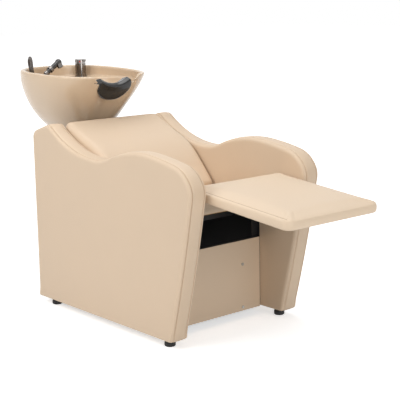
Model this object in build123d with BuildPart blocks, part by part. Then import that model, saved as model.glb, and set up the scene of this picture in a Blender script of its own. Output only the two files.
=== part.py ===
from build123d import *
import os
from math import atan2, copysign, cos, degrees, hypot, pi, radians, sin, tan

# A salon backwash unit: an upholstered seat with leather side panels, a leg rest that swings up
# and a ceramic basin that tilts behind the back.
# Millimetres. +Z up, floor at z = 0, the sitter faces -Y, so the sitter's right is at -X.
# The origin is on the floor under the middle of the whole unit.

# Overall sizes
body_width = 640.0
foot_height = 28.0
panel_height = 760.0
rim_height = 936.0

# Side panels: foam and leather over a plywood core
panel_thickness = 81.0
panel_length = 1002.5
panel_rear_y = 503.5
panel_crown = 22.0
panel_corner = 40.0
core_thickness = 36.0
core_inset = 26.0

# Places along the panel's outline: first from its rear edge forward, then up from the floor
rear_top_shares = (0.0, 0.951)
top_corner_shares = (0.117, 1.0)
dip_shares = (0.442, 0.8507)
hump_foot_shares = (0.518, 0.871)
hump_top_shares = (0.761, 0.9197)
brow_shares = (0.911, 0.8875)
nose_shares = (0.991, 0.809)
nose_low_shares = (0.999, 0.746)
toe_share = 0.8743

# Clearances between pieces
soft_gap = 0.5
seat_gap = 0.3
overrun = 4.0
pad_chamfer = 2.0

# Seat; its underside's front edge lies this far below the basin's rim
seat_front_y = -342.0
seat_drop = 473.0
seat_slope = 11.0
seat_length = 372.0
seat_thickness = 96.0
seat_board_thickness = 12.0
seat_crown = 12.0
seat_edge = 16.0
seat_draw = 4.0
board_inset = 12.0

# Back: an upper shoulder pad on a shallow slope, bent down to a steep lower part. Its top, knee and
# foot are given as the way back from the seat's length and the drop from the basin's rim
back_top_reach = 356.0
back_top_drop = 165.0
back_knee_reach = 98.0
back_knee_drop = 278.0
back_foot_overlap = 40.0
back_foot_drop = 442.0
back_thickness = 78.0
back_hollow = 14.0
back_knee_radius = 46.0
back_top_radius = 30.0
back_edge = 24.0
back_board_thickness = 12.0
back_board_end_gap = 16.0

# Leg rest, raised; its hinge lies before the seat and above the seat's front edge
hinge_gap = 20.242
hinge_rise = 74.801
rest_slope = 5.6
rest_length = 508.0
rest_side_gap = 10.5
rest_thickness = 48.0
rest_board_thickness = 12.0
rest_crown = 6.0
rest_corner = 34.0
rest_edge = 13.0
rest_draw = 3.0
rest_board_inset = 16.0
arm_thickness = 6.0
arm_height = 26.0
arm_reach = 300.0
arm_side_inset = 78.5
hinge_eye_radius = 12.0
hinge_pin_radius = 5.0
pin_head_radius = 9.0
pin_head_height = 4.0
running_gap = 0.05
disc_thickness = 4.0
disc_teeth = 24
disc_tooth_depth = 2.0
bracket_thickness = 6.0
bracket_depth = 34.0

# Steel tube frame
tube_size = 30.0
tube_wall = 2.0
near_tube_share = 1.5
far_tube_share = 2.0
front_panel_inset = 87.5
front_panel_drop = 150.5
front_panel_thickness = 15.0
front_panel_gap = 2.0
mid_tube_share = 0.6643
rear_panel_inset = 16.5
rear_panel_thickness = 12.0
rear_panel_drop = 105.0
upright_drop = 55.0
screw_head_radius = 6.0
screw_head_height = 3.0
screw_radius = 2.5
front_screw_inset = 93.0
screw_inset = 14.0

# Feet
foot_radius = 21.0
foot_neck_radius = 15.0
foot_pad_height = 14.0
foot_edge = 3.0
foot_stud_radius = 5.0
foot_stud_length = 30.0
front_foot_inset = 52.486
rear_foot_inset = 75.0

# Basin
basin_width = 456.0
basin_length = 565.5
basin_depth = 241.0
basin_squareness = 2.6
section_points = 24
rim_band = 20.0
rim_rise = 21.0
rise_power = 3
scoop_sharpness = 40
deck_drop = 31.0
rim_edge = 5.0
basin_bottom_edge = 14.0
notch_half_width = 115.0
notch_depth = 56.0
notch_reach = 165.0
basin_overhang = 76.0
drain_reach = 310.0

# Basin outline at each level: height, half width, then how far the front and rear ends and the
# hollow at the middle of the front are drawn in
outer_shares = (
    (0.0, 0.46, 0.3444, 0.1952, 0.0),
    (0.22, 0.658, 0.2616, 0.1015, 0.03),
    (0.436, 0.798, 0.1896, 0.0394, 0.055),
    (0.656, 0.912, 0.1098, 0.0099, 0.068),
    (0.871, 0.991, 0.0388, 0.0, 0.066),
    (1.0, 1.0, 0.0, 0.006, 0.06),
)
bowl_shares = (
    (0.091, 0.373, 0.371, 0.3638, 0.0),
    (0.22, 0.57, 0.2902, 0.3105, 0.03),
    (0.436, 0.724, 0.2143, 0.2682, 0.055),
    (0.656, 0.82, 0.1384, 0.2396, 0.068),
    (0.871, 0.89, 0.0693, 0.2218, 0.066),
)
# Hollow under the deck, behind the bowl: height, half width, middle and half length along Y
hollow_shares = (
    (0.0, 0.26, 0.7217, 0.042),
    (0.436, 0.56, 0.8482, 0.0789),
    (0.80, 0.683, 0.8728, 0.0698),
)

# Neck rest: its profile at the middle, as shares of its reach behind the basin's front and of its
# drop below the notch
neck_half_angle = 42.0
neck_half_width = 84.0
neck_lobe_radius = 100.0
neck_lap = 12.0
neck_reach = 83.0
neck_drop = 48.0
neck_shares = (
    (0.892, -0.917), (0.602, -1.0), (0.241, -0.292), (0.12, 0.292), (0.313, 0.542), (0.843, 0.375),
    (1.0, -0.125), (0.807, -0.292),
)
neck_edge = 6.0

# Basin carrier
pivot_reach = 40.0
pivot_drop = 40.0
pivot_radius = 6.0
ear_x = 60.0
ear_thickness = 6.0
ear_radius = 20.0
cradle_thickness = 5.0
cradle_half_width = 92.0
cradle_length = 150.0
washer_thickness = 2.0
washer_radius = 14.0
basin_arm_thickness = 8.0
basin_arm_radius = 22.0
lever_hub_radius = 15.0
lever_hub_width = 16.0
lever_length = 85.0
lever_radius = 6.0
lever_knob_radius = 11.0

# Drain
drain_radius = 22.0
drain_flange_radius = 31.0
drain_flange_height = 4.0
drain_wall = 2.5
nut_radius = 34.0
nut_height = 10.0
gasket_height = 2.0
strainer_radius = 18.5
strainer_height = 22.0
strainer_wall = 1.5
strainer_slots = 12
slot_width = 2.0
slot_place_share = 0.6
trap_radius = 31.0
trap_height = 95.0
outlet_radius = 20.0
outlet_length = 62.0
outlet_collar_radius = 25.0
outlet_collar_length = 4.0

# Mixer
mixer_side_inset = 106.0
mixer_rear_inset = 90.5
mixer_radius = 24.0
mixer_height = 57.0
mixer_ring_radius = 27.0
mixer_ring_height = 6.0
mixer_shank_radius = 16.0
mixer_shank_length = 40.0
mixer_nut_radius = 20.0
mixer_nut_height = 8.0
tail_radius = 8.33
tail_drop = 45.0
tail_spacing = 20.0
turret_height = 4.0
cap_height = 15.0
cap_radius = 24.5
lever_tip = 44.0
lever_width = 13.0
lever_thickness = 6.0
lug_radius = 3.0
lug_room_shares = (5.0, 3.0)
cap_clearance = 2.0
cap_edge = 2.5
mark_turn = 40.0
mark_radius = 3.5
mark_depth = 1.0
mark_rise = 4.5

# Hand shower: its axis leans from the lower end up to the head, which sprays down and forward
shower_side_inset = 155.0
shower_rear_inset = 120.5
shower_lean = 35.0
shower_length = 72.0
shower_foot_radius = 10.0
shower_grip_radius = 12.0
grip_share = 0.7
elbow_radius = 15.0
head_neck_share = 0.86
head_radius = 13.0
head_length = 28.0
head_direction_shares = (0.2, -0.35, -0.915)
face_radius = 10.0
face_thickness = 3.0
nozzle_radius = 1.2
nozzle_circle = 6.5
nozzle_count = 8
hose_nut_radius = 11.0
hose_nut_length = 14.0
hose_nut_chamfer = 0.9
holder_share = 0.30
holder_ring_width = 12.0
holder_wall = 3.5
holder_post_radius = 6.0
holder_arm_radius = 4.5
holder_foot_radius = 12.0
holder_foot_height = 4.0
holder_rear_inset = 98.5

# Shower hose, from the grommet in the deck over a loop and back along the deck to the shower
hose_radius = 6.5
bend_share = 0.45
hose_side_inset = 97.0
hose_rear_inset = 80.5
grommet_radius = 14.0
grommet_height = 8.0
grommet_neck = 9.5
hose_route = (
    (-131.0, 795.0, 913.0), (-131.0, 795.0, 945.0), (-136.0, 801.0, 978.0), (-141.0, 788.0, 1003.0),
    (-150.0, 761.0, 1003.0), (-157.0, 745.0, 978.0), (-158.0, 741.0, 950.0), (-150.0, 744.0, 925.0),
    (-128.0, 750.0, 914.0), (-102.489, 755.0, 915.351), (-84.509, 755.0, 927.941),
)

os.makedirs("parts", exist_ok=True)

# Shared places
half_width = body_width / 2
inner_x = half_width - panel_thickness
core_x = half_width - panel_thickness / 2
seat_front_height = rim_height - seat_drop
seat_rear_y = seat_front_y + seat_length
back_top = (seat_rear_y + back_top_reach, rim_height - back_top_drop)
back_knee = (seat_rear_y + back_knee_reach, rim_height - back_knee_drop)
back_foot = (seat_rear_y - back_foot_overlap, rim_height - back_foot_drop)
basin_front_y = back_top[0] - basin_overhang
rear_y = basin_front_y + basin_length
basin_floor = rim_height - basin_depth
deck_height = rim_height - deck_drop
drain_y = basin_front_y + drain_reach
pivot_y = drain_y - pivot_reach
pivot_height = basin_floor - pivot_drop
mixer_x = basin_width / 2 - mixer_side_inset
mixer_y = rear_y - mixer_rear_inset
hose_spot = (hose_side_inset - basin_width / 2, rear_y - hose_rear_inset)
shower_foot = (shower_side_inset - basin_width / 2, rear_y - shower_rear_inset, rim_height)
holder_y = rear_y - holder_rear_inset
upright_top = basin_floor - upright_drop
rear_panel_y = panel_rear_y - rear_panel_inset
rear_panel_top = basin_floor - rear_panel_drop
front_panel_y = seat_front_y + front_panel_inset
front_panel_top = seat_front_height - front_panel_drop
mid_tube_height = foot_height + (front_panel_top - foot_height) * mid_tube_share
rear_foot_y = panel_rear_y - rear_foot_inset
front_foot_y = panel_rear_y - panel_length * toe_share + front_foot_inset
rest_width = 2 * (inner_x - rest_side_gap)
arm_x = rest_width / 2 - arm_side_inset
side_names = (("right", -1), ("left", 1))


def on_panel(shares):
    """A point of the panel outline, from its shares of the panel's length and height."""
    return (panel_rear_y - panel_length * shares[0], panel_height * shares[1])


def towards(start, end, distance):
    """The point at a distance from start on the line to end."""
    share = distance / hypot(end[0] - start[0], end[1] - start[1])
    return (start[0] + (end[0] - start[0]) * share, start[1] + (end[1] - start[1]) * share)


def crowned_pad(plane, length, width, thickness, crown, corner, edge, draw):
    """A crowned cushion with rounded corners and drawn-in sides.

    The plane lies under its front edge: x runs back along the pad, y across it.
    """
    half_long, half_wide = length / 2, width / 2
    with BuildPart() as pad:
        with BuildSketch(Plane.XY) as plan:
            with BuildLine():
                ThreePointArc((0, -half_wide), (half_long, draw - half_wide), (length, -half_wide))
                ThreePointArc((length, -half_wide), (length - draw, 0), (length, half_wide))
                ThreePointArc((length, half_wide), (half_long, half_wide - draw), (0, half_wide))
                ThreePointArc((0, half_wide), (draw, 0), (0, -half_wide))
            make_face()
            fillet(plan.vertices(), radius=corner)
        extrude(amount=thickness)
        long_radius = (half_long ** 2 + crown ** 2) / (2 * crown)
        with BuildSketch(Plane.YZ.offset(half_long)):
            with BuildLine():
                side_top = thickness - crown
                ThreePointArc((-half_wide, side_top), (0, thickness), (half_wide, side_top))
                Polyline((half_wide, side_top), (half_wide, -thickness), (-half_wide, -thickness),
                         (-half_wide, side_top))
            make_face()
        revolve(axis=Axis((half_long, 0, thickness - long_radius), (0, 1, 0)), mode=Mode.INTERSECT)
        fillet(pad.faces().sort_by(Axis.Z)[-1].edges(), radius=edge)
        chamfer(pad.faces().sort_by(Axis.Z)[0].edges(), length=pad_chamfer)
    return plane * pad.part


def square_tube(start, length, x_dir, along):
    """A square tube from start along a direction, with x_dir square to one of its walls."""
    with BuildPart() as tube:
        with BuildSketch(Plane(origin=start, x_dir=x_dir, z_dir=along)):
            Rectangle(tube_size, tube_size)
            Rectangle(tube_size - 2 * tube_wall, tube_size - 2 * tube_wall, mode=Mode.SUBTRACT)
        extrude(amount=length)
    return tube.part


def section(half_wide, front, rear, scoop):
    """Points of a rounded basin outline between two places along Y, hollowed at its front by scoop."""
    middle, half_long = (front + rear) / 2, (rear - front) / 2
    points = []
    for step in range(section_points):
        across, along = cos(2 * pi * step / section_points), sin(2 * pi * step / section_points)
        power = 2 / basin_squareness
        points.append((half_wide * copysign(abs(across) ** power, across),
                       middle + half_long * copysign(abs(along) ** power, along)
                       + scoop * max(0, -along) ** scoop_sharpness))
    return points


def basin_section(shares):
    """Height and outline points of one level of the basin."""
    level, wide, front_in, rear_in, hollow_in = shares
    points = section(wide * basin_width / 2, basin_front_y + front_in * basin_length,
                     rear_y - rear_in * basin_length, hollow_in * basin_length)
    return basin_floor + level * basin_depth, points


# Side panels and their cores
toe_front = (panel_rear_y - panel_length * toe_share, foot_height)
toe_rear = (panel_rear_y, foot_height)
with BuildSketch(Plane.YZ) as panel_outline:
    with BuildLine():
        slope_up = TangentArc(on_panel(dip_shares), on_panel(top_corner_shares), tangent=(1, 0))
        rise = TangentArc(on_panel(dip_shares), on_panel(hump_foot_shares), tangent=(-1, 0))
        hump = TangentArc(rise @ 1, on_panel(hump_top_shares), tangent=rise % 1)
        brow = TangentArc(hump @ 1, on_panel(brow_shares), tangent=hump % 1)
        nose = TangentArc(brow @ 1, on_panel(nose_shares), tangent=brow % 1)
        nose_low = TangentArc(nose @ 1, on_panel(nose_low_shares), tangent=nose % 1)
        shin = TangentArc(nose_low @ 1, toe_front, tangent=nose_low % 1)
        Polyline(toe_front, toe_rear, on_panel(rear_top_shares), on_panel(top_corner_shares))
    make_face()
    for shares in (rear_top_shares, top_corner_shares):
        fillet(panel_outline.vertices().sort_by_distance(on_panel(shares))[0], radius=panel_corner)
with BuildSketch(Plane.YZ) as core_outline:
    add(panel_outline.sketch_local)
    offset(amount=-core_inset, kind=Kind.ARC)
    with Locations((0, -core_inset)):
        add(core_outline.sketch_local)

for side, sign in side_names:
    with BuildPart() as side_panel:
        with BuildSketch(Plane.YZ.offset(sign * core_x)):
            add(panel_outline.sketch_local)
        extrude(amount=panel_thickness / 2, both=True)
        rims = side_panel.faces().filter_by(Axis.X).edges()
        raised = rims.filter_by(lambda edge: edge.center().Z > foot_height + overrun)
        fillet(raised, radius=panel_crown)
        with BuildSketch(Plane.YZ.offset(sign * core_x)):
            add(core_outline.sketch_local)
        extrude(amount=core_thickness / 2, both=True, mode=Mode.SUBTRACT)
    side_panel.part.label = f"side_panel_{side}"
    export_step(side_panel.part, f"parts/side_panel_{side}.step")

    with BuildPart() as panel_core:
        with BuildSketch(Plane.YZ.offset(sign * core_x)):
            add(core_outline.sketch_local)
            offset(amount=-seat_gap, kind=Kind.ARC)
        extrude(amount=core_thickness / 2 - seat_gap, both=True)
        with BuildSketch(Plane.XY.offset(foot_height)):
            with Locations(*[(sign * core_x, y) for y in (front_foot_y, rear_foot_y)]):
                Circle(foot_stud_radius + running_gap)
        extrude(amount=foot_stud_length + seat_gap, mode=Mode.SUBTRACT)
    panel_core.part.label = f"panel_core_{side}"
    export_step(panel_core.part, f"parts/panel_core_{side}.step")

# Seat: a board under a crowned cushion, both on the seat's slope
seat_plane = Plane(origin=(0, seat_front_y, seat_front_height),
                   x_dir=(0, cos(radians(seat_slope)), -sin(radians(seat_slope))),
                   z_dir=(0, sin(radians(seat_slope)), cos(radians(seat_slope))))
seat_width = 2 * (inner_x - soft_gap)
seat_pad = crowned_pad(seat_plane, seat_length, seat_width, seat_thickness, seat_crown, seat_edge,
                       seat_edge, seat_draw)
seat_room = crowned_pad(seat_plane, seat_length + soft_gap, seat_width + overrun, seat_thickness + soft_gap,
                        seat_crown, seat_edge, seat_edge, soft_gap)
with BuildPart() as seat_board:
    with BuildSketch(seat_plane):
        with Locations((seat_length / 2, 0)):
            Rectangle(seat_length - 2 * board_inset, seat_width - 2 * board_inset)
    extrude(amount=seat_board_thickness)
seat_board.part.label = "seat_board"
export_step(seat_board.part, "parts/seat_board.step")

with BuildPart() as seat_cushion:
    add(seat_pad)
    add(seat_board.part, mode=Mode.SUBTRACT)
seat_cushion.part.label = "seat_cushion"
export_step(seat_cushion.part, "parts/seat_cushion.step")

# Back: one cushion bent at the knee, on an upper and a lower board let into its rear
back_width = 2 * (inner_x - soft_gap)
upper_tilt = degrees(atan2(back_top[1] - back_knee[1], back_top[0] - back_knee[0]))
lower_tilt = degrees(atan2(back_knee[1] - back_foot[1], back_knee[0] - back_foot[0]))


def behind(point, tilt, depth):
    """The point that lies a depth behind a point of a slope."""
    return (point[0] + depth * sin(radians(tilt)), point[1] - depth * cos(radians(tilt)))


bend = (upper_tilt + lower_tilt) / 2
bend_depth = back_thickness / cos(radians((lower_tilt - upper_tilt) / 2))
back_rear_top = behind(back_top, upper_tilt, back_thickness)
back_rear_bend = behind(back_knee, bend, bend_depth)
back_rear_foot = behind(back_foot, lower_tilt, back_thickness)
hollow_middle = ((back_top[0] + back_knee[0]) / 2, (back_top[1] + back_knee[1]) / 2)

with BuildPart() as back_boards:
    for top, foot, tilt in ((back_rear_top, back_rear_bend, upper_tilt),
                            (back_rear_bend, back_rear_foot, lower_tilt)):
        board_start = towards(foot, top, back_board_end_gap)
        board_end = towards(top, foot, back_board_end_gap)
        with BuildSketch(Plane.YZ):
            with BuildLine():
                Polyline(board_start, board_end, behind(board_end, tilt, -back_board_thickness),
                         behind(board_start, tilt, -back_board_thickness), close=True)
            make_face()
        extrude(amount=back_width / 2 - board_inset, both=True)
for name, board in zip(("back_board_lower", "back_board_upper"), back_boards.solids().sort_by(Axis.Z)):
    board.label = name
    export_step(board, f"parts/{name}.step")

with BuildPart() as back_cushion:
    with BuildSketch(Plane.YZ) as back_side:
        with BuildLine():
            ThreePointArc(back_top, behind(hollow_middle, upper_tilt, back_hollow), back_knee)
            Polyline(back_knee, back_foot, back_rear_foot, back_rear_bend, back_rear_top, back_top)
        make_face()
        fillet(back_side.vertices().sort_by_distance(back_knee)[0], radius=back_knee_radius)
        fillet(back_side.vertices().sort_by_distance(back_top)[0], radius=back_top_radius)
    extrude(amount=back_width / 2, both=True)
    front_faces = [face for face in back_cushion.faces() if abs(face.normal_at().X) < 0.5
                   and face.normal_at().Z > 0 and face.normal_at().Y < 0.5]
    side_edges = [edge for edge in back_cushion.faces().filter_by(Axis.X).edges()
                  if any(edge in face.edges() for face in front_faces)]
    fillet(side_edges, radius=back_edge)
    add(back_boards.part, mode=Mode.SUBTRACT)
    add(seat_room, mode=Mode.SUBTRACT)
back_cushion.part.label = "back_cushion"
export_step(back_cushion.part, "parts/back_cushion.step")

# Steel frame of square tubes
tube_x = inner_x - tube_size / 2
rear_tube_y = rear_panel_y - rear_panel_thickness - tube_size / 2
front_tube_y = front_panel_y + front_panel_thickness + tube_size / 2
low_tube_z = foot_height + tube_size / 2
upright_foot_z = foot_height + tube_size
rail_length = rear_tube_y - front_tube_y + tube_size
rail_start_y = front_tube_y - tube_size / 2
front_top = seat_front_height - (front_tube_y + tube_size / 2 - seat_front_y) * tan(radians(seat_slope))
frame_tubes = {
    "base_rails": [square_tube((sign * tube_x, rail_start_y, low_tube_z), rail_length, (1, 0, 0), (0, 1, 0))
                   for sign in (-1, 1)],
    "front_uprights": [square_tube((sign * tube_x, front_tube_y, upright_foot_z),
                                   front_top - upright_foot_z - seat_gap, (1, 0, 0), (0, 0, 1))
                       for sign in (-1, 1)],
    "rear_uprights": [square_tube((sign * tube_x, rear_tube_y, upright_foot_z), upright_top - upright_foot_z,
                                  (1, 0, 0), (0, 0, 1)) for sign in (-1, 1)],
}
between_tubes = 2 * (tube_x - tube_size / 2)
rear_tube_z = upright_top - tube_size / 2
for name, y, z in (("front_cross_low", front_tube_y, low_tube_z),
                   ("front_cross_mid", front_tube_y, mid_tube_height),
                   ("rear_cross_low", rear_tube_y, low_tube_z), ("rear_cross_top", rear_tube_y, rear_tube_z)):
    frame_tubes[name] = [square_tube((-between_tubes / 2, y, z), between_tubes, (0, 1, 0), (1, 0, 0))]

# Cross tubes that lie against the rear of the sloped boards, two or one and a half tubes from an end
seat_tube_y = front_tube_y + tube_size * near_tube_share
seat_near_point = (seat_tube_y, seat_front_height - (seat_tube_y - seat_front_y) * tan(radians(seat_slope)))
seat_far_reach = seat_length - tube_size * far_tube_share
seat_rear_point = (seat_front_y + seat_far_reach * cos(radians(seat_slope)),
                   seat_front_height - seat_far_reach * sin(radians(seat_slope)))
sloped_tubes = (
    ("seat_cross_front", seat_near_point, -seat_slope),
    ("seat_cross_rear", seat_rear_point, -seat_slope),
    ("back_cross_low", towards(back_rear_foot, back_rear_bend, tube_size * far_tube_share), lower_tilt),
    ("back_cross_mid", towards(back_rear_bend, back_rear_top, tube_size * near_tube_share), upper_tilt),
    ("back_cross_top", towards(back_rear_top, back_rear_bend, tube_size * far_tube_share), upper_tilt),
)
for name, point, tilt in sloped_tubes:
    middle = behind(point, tilt, tube_size / 2)
    frame_tubes[name] = [square_tube((-inner_x, middle[0], middle[1]), 2 * inner_x,
                                     (0, cos(radians(tilt)), sin(radians(tilt))), (1, 0, 0))]
for name, tubes in frame_tubes.items():
    with BuildPart() as tube_group:
        add(tubes)
    tube_group.part.label = name
    export_step(tube_group.part, f"parts/{name}.step")

# Front and rear panels with their screws
panel_reach = inner_x - front_panel_gap
front_screw_x = panel_reach - front_screw_inset
with BuildPart() as front_panel:
    with BuildSketch(Plane.XZ.offset(-front_panel_y)):
        with Locations((0, foot_height)):
            Rectangle(2 * panel_reach, front_panel_top - foot_height, align=(Align.CENTER, Align.MIN))
    extrude(amount=-front_panel_thickness)
    front_spots = [(x, z) for x in (-front_screw_x, front_screw_x) for z in (low_tube_z, mid_tube_height)]
    with BuildSketch(Plane.XZ.offset(-front_panel_y)):
        with Locations(*front_spots):
            Circle(screw_radius + running_gap)
    extrude(amount=-front_panel_thickness, mode=Mode.SUBTRACT)
front_panel.part.label = "front_panel"
export_step(front_panel.part, "parts/front_panel.step")

with BuildPart() as rear_panel:
    with BuildSketch(Plane.XZ.offset(-rear_panel_y)):
        with Locations((0, foot_height)):
            Rectangle(2 * panel_reach, rear_panel_top - foot_height, align=(Align.CENTER, Align.MIN))
    extrude(amount=rear_panel_thickness)
    rear_spots = [(x, z) for x in (-tube_x, tube_x)
                  for z in (low_tube_z, (foot_height + rear_panel_top) / 2, rear_panel_top - screw_inset)]
    with BuildSketch(Plane.XZ.offset(-rear_panel_y)):
        with Locations(*rear_spots):
            Circle(screw_radius + running_gap)
    extrude(amount=rear_panel_thickness, mode=Mode.SUBTRACT)
rear_panel.part.label = "rear_panel"
export_step(rear_panel.part, "parts/rear_panel.step")

for name, face_y, spots, outward in (("front_panel_screws", front_panel_y, front_spots, -1),
                                     ("rear_panel_screws", rear_panel_y, rear_spots, 1)):
    with BuildPart() as screws:
        with BuildSketch(Plane.XZ.offset(-face_y)):
            with Locations(*spots):
                Circle(screw_head_radius)
        extrude(amount=-outward * screw_head_height)
        with BuildSketch(Plane.XZ.offset(-face_y)):
            with Locations(*spots):
                Circle(screw_radius)
        extrude(amount=outward * min(front_panel_thickness, rear_panel_thickness))
    screws.part.label = name
    export_step(screws.part, f"parts/{name}.step")

# Feet: a rubber pad with a narrower neck and a stud up into the panel's core
with BuildPart() as feet:
    for sign in (-1, 1):
        for foot_y in (front_foot_y, rear_foot_y):
            with BuildSketch(Plane(origin=(sign * core_x, foot_y, 0), x_dir=(1, 0, 0), z_dir=(0, -1, 0))):
                with BuildLine():
                    Polyline((0, 0), (foot_radius - foot_edge, 0), (foot_radius, foot_edge),
                             (foot_radius, foot_pad_height), (foot_neck_radius, foot_height),
                             (foot_stud_radius, foot_height),
                             (foot_stud_radius, foot_height + foot_stud_length),
                             (0, foot_height + foot_stud_length), (0, 0))
                make_face()
            revolve(axis=Axis((sign * core_x, foot_y, 0), (0, 0, 1)))
feet.part.label = "feet"
export_step(feet.part, "parts/feet.step")

# Leg rest, raised: pad, board and two arms that turn on pins in two fixed brackets
hinge_y = seat_front_y - hinge_gap
hinge_z = seat_front_height + hinge_rise
rest_rise = radians(rest_slope)
rest_plane = Plane(origin=(0, hinge_y - hinge_eye_radius / 2 - rest_length * cos(rest_rise),
                           hinge_z + hinge_eye_radius - rest_length * sin(rest_rise)),
                   x_dir=(0, cos(rest_rise), sin(rest_rise)), z_dir=(0, -sin(rest_rise), cos(rest_rise)))
with BuildPart() as legrest_board:
    with BuildSketch(rest_plane):
        with Locations((rest_length / 2, 0)):
            RectangleRounded(rest_length - 2 * rest_board_inset, rest_width - 2 * rest_board_inset,
                             rest_corner - rest_board_inset)
    extrude(amount=rest_board_thickness)
legrest_board.part.label = "legrest_board"
export_step(legrest_board.part, "parts/legrest_board.step")

with BuildPart() as legrest_pad:
    add(crowned_pad(rest_plane, rest_length, rest_width, rest_thickness, rest_crown, rest_corner,
                    rest_edge, rest_draw))
    add(legrest_board.part, mode=Mode.SUBTRACT)
legrest_pad.part.label = "legrest_pad"
export_step(legrest_pad.part, "parts/legrest_pad.step")

# The hinge lies just behind the pad and below its board
hinge_local = rest_plane.to_local_coords(Vector(0, hinge_y, hinge_z))
eye_point = (hinge_local.X, hinge_local.Z)
arm_front = rest_length - arm_reach

for side, sign in side_names:
    near = sign * arm_x
    with BuildPart() as arm:
        with BuildSketch(Plane(origin=rest_plane.origin + Vector(near, 0, 0), x_dir=rest_plane.x_dir,
                               z_dir=(1, 0, 0))):
            with Locations((arm_front, 0)):
                Rectangle(eye_point[0] - arm_front, arm_height, align=(Align.MIN, Align.MAX))
            with Locations(eye_point):
                Circle(hinge_eye_radius)
                Circle(hinge_pin_radius, mode=Mode.SUBTRACT)
        extrude(amount=arm_thickness / 2, both=True)
    arm.part.label = f"legrest_arm_{side}"
    export_step(arm.part, f"parts/legrest_arm_{side}.step")

# The pins are fast in the arms and turn in the brackets beside them
bracket_x = arm_x + arm_thickness / 2 + disc_thickness
arm_face_x = arm_x - arm_thickness / 2
pin_length = arm_thickness + disc_thickness + bracket_thickness + seat_gap
with BuildPart() as legrest_pins:
    for sign in (-1, 1):
        with BuildSketch(Plane.YZ.offset(sign * arm_face_x)):
            with Locations((hinge_y, hinge_z)):
                Circle(pin_head_radius)
        extrude(amount=-sign * pin_head_height)
        with BuildSketch(Plane.YZ.offset(sign * arm_face_x)):
            with Locations((hinge_y, hinge_z)):
                Circle(hinge_pin_radius)
        extrude(amount=sign * pin_length)
        with BuildSketch(Plane.YZ.offset(sign * (arm_face_x + pin_length))):
            with Locations((hinge_y, hinge_z)):
                Circle(pin_head_radius)
        extrude(amount=sign * pin_head_height)
legrest_pins.part.label = "legrest_pins"
export_step(legrest_pins.part, "parts/legrest_pins.step")

# A toothed disc on each bracket holds the arm at each step of its swing
with BuildPart() as ratchet_discs:
    for sign in (-1, 1):
        with BuildSketch(Plane.YZ.offset(sign * (arm_x + arm_thickness / 2 + seat_gap))):
            with Locations((hinge_y, hinge_z)):
                Circle(hinge_eye_radius - disc_tooth_depth)
                with PolarLocations(hinge_eye_radius - disc_tooth_depth, disc_teeth):
                    Rectangle(disc_tooth_depth, disc_tooth_depth / 2)
                Circle(hinge_pin_radius + running_gap, mode=Mode.SUBTRACT)
        extrude(amount=sign * (disc_thickness - seat_gap))
ratchet_discs.part.label = "ratchet_discs"
export_step(ratchet_discs.part, "parts/ratchet_discs.step")

# Fixed brackets: from the cross tube forward under the seat board, then up before it to the hinge
slope_drop = seat_front_height - seat_near_point[1]
seat_tube_middle = behind(seat_near_point, -seat_slope, tube_size / 2)
horn_front = hinge_y - hinge_eye_radius + soft_gap
horn_rear = hinge_y + hinge_eye_radius
with BuildPart() as legrest_brackets:
    for sign in (-1, 1):
        with BuildSketch(Plane.YZ.offset(sign * bracket_x)):
            with BuildLine():
                Polyline((seat_tube_y, seat_near_point[1] - soft_gap),
                         (seat_front_y - soft_gap, seat_front_height - soft_gap),
                         (horn_rear, seat_front_height + bracket_depth), (horn_rear, hinge_z),
                         (horn_front, hinge_z), (horn_front, seat_front_height - bracket_depth / 2),
                         (seat_front_y, seat_front_height - bracket_depth),
                         (seat_tube_y, seat_front_height - slope_drop - bracket_depth), close=True)
            make_face()
            with Locations((hinge_y, hinge_z)):
                Circle(hinge_eye_radius)
                Circle(hinge_pin_radius + running_gap, mode=Mode.SUBTRACT)
            with Locations(seat_tube_middle):
                Rectangle(tube_size, tube_size, rotation=-seat_slope, mode=Mode.SUBTRACT)
        extrude(amount=sign * bracket_thickness)
legrest_brackets.part.label = "legrest_brackets"
export_step(legrest_brackets.part, "parts/legrest_brackets.step")

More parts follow.
